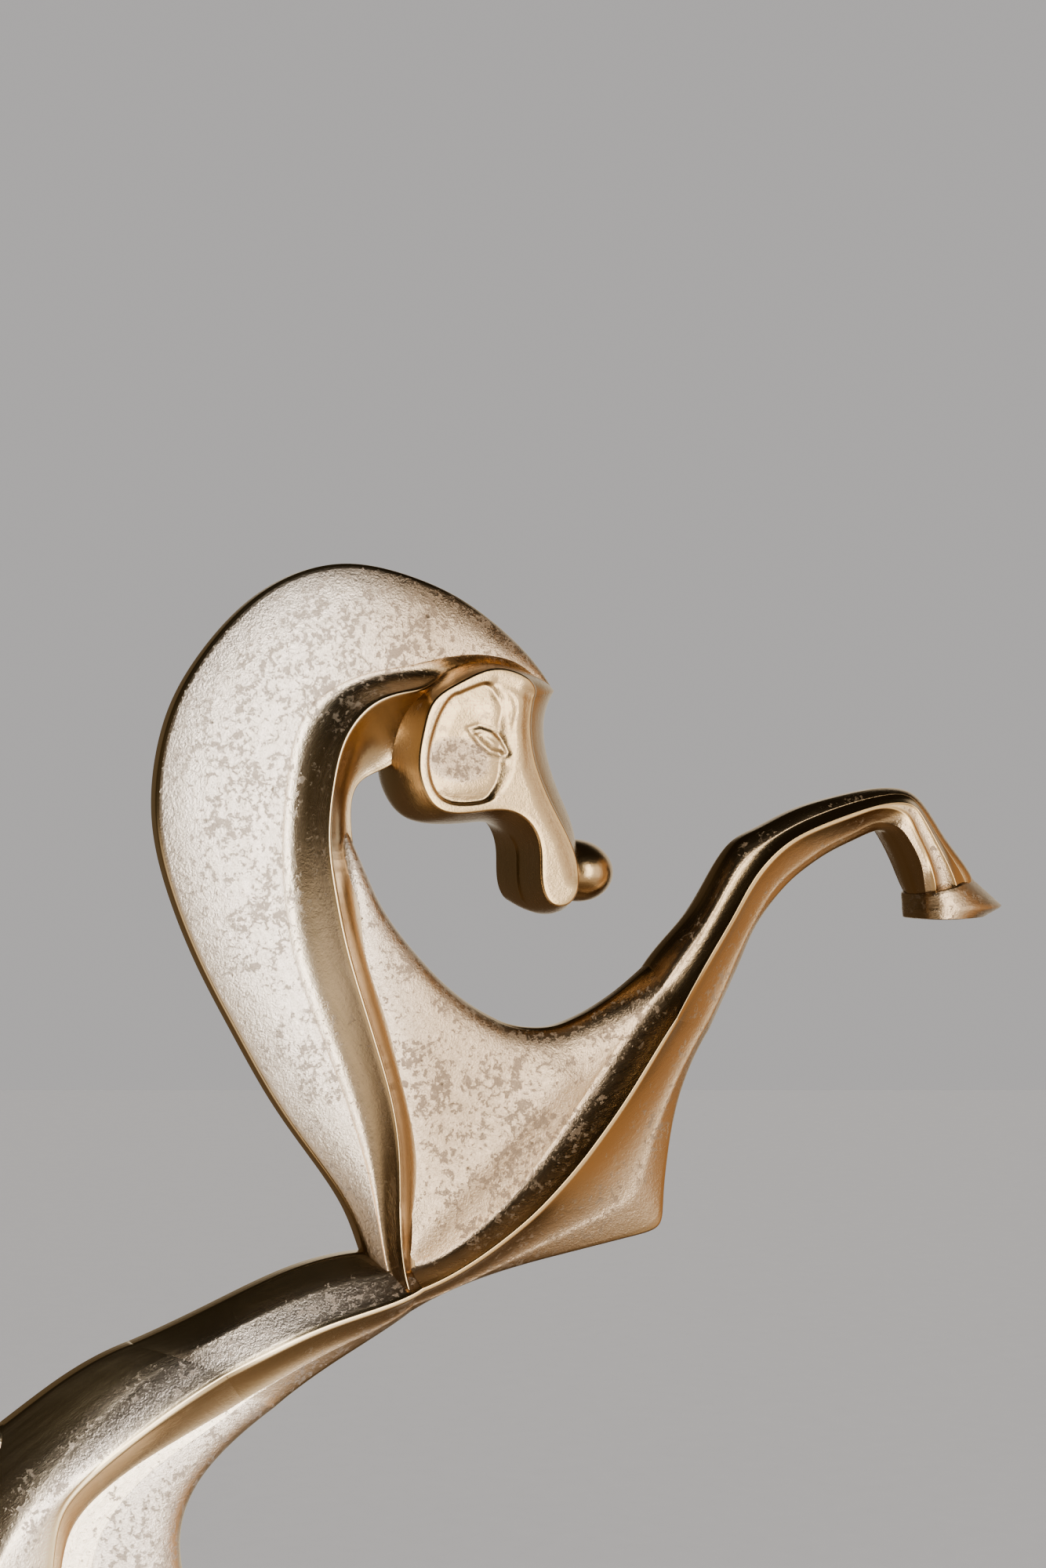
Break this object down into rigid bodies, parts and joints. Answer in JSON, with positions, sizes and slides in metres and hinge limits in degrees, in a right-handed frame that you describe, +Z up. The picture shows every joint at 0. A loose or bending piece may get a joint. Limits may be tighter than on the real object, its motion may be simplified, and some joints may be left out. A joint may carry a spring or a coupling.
{
  "type": "horse sculpture",
  "caption": "Cast metal figure of a rearing horse in two-sided relief, champagne-gold finish with burnished ridges and rough-cast faces, on a dark stone plinth with a felt underside.",
  "frame": {"origin": "middle of the plinth's felt underside, on the surface that the figure stands on", "axes": "+X the way the horse faces, +Z up, Y=0 the mid-plane about which the relief is the same on both sides"},
  "size_m": [0.4214, 0.1, 0.5085],
  "materials": {
    "champagne_casting": "champagne-gold plated casting, rough faces with burnished ridges",
    "steel": "bright drawn",
    "stone": "honed black marble",
    "felt": "black felt sheet"
  },
  "bodies": {
    "root": {"head": "champagne_casting", "nose": "champagne_casting", "neck_and_mane": "champagne_casting", "breast": "champagne_casting", "foreleg": "champagne_casting", "raised_hoof": "champagne_casting", "barrel": "champagne_casting", "rear_hind_leg": "champagne_casting", "forward_hind_leg": "champagne_casting", "rear_hind_hoof": "champagne_casting", "forward_hind_hoof": "champagne_casting", "tail": "champagne_casting", "neck_dowels": "steel", "head_dowels": "steel", "nose_dowel": "steel", "breast_dowel": "steel", "forearm_dowel": "steel", "raised_hoof_dowels": "steel", "haunch_dowel": "steel", "hind_leg_dowels": "steel", "tail_dowel": "steel", "hind_hoof_dowels": "steel", "studs": "steel", "washers": "steel", "nuts": "steel", "plinth": "stone", "felt": "felt"}
  },
  "joints": []
}
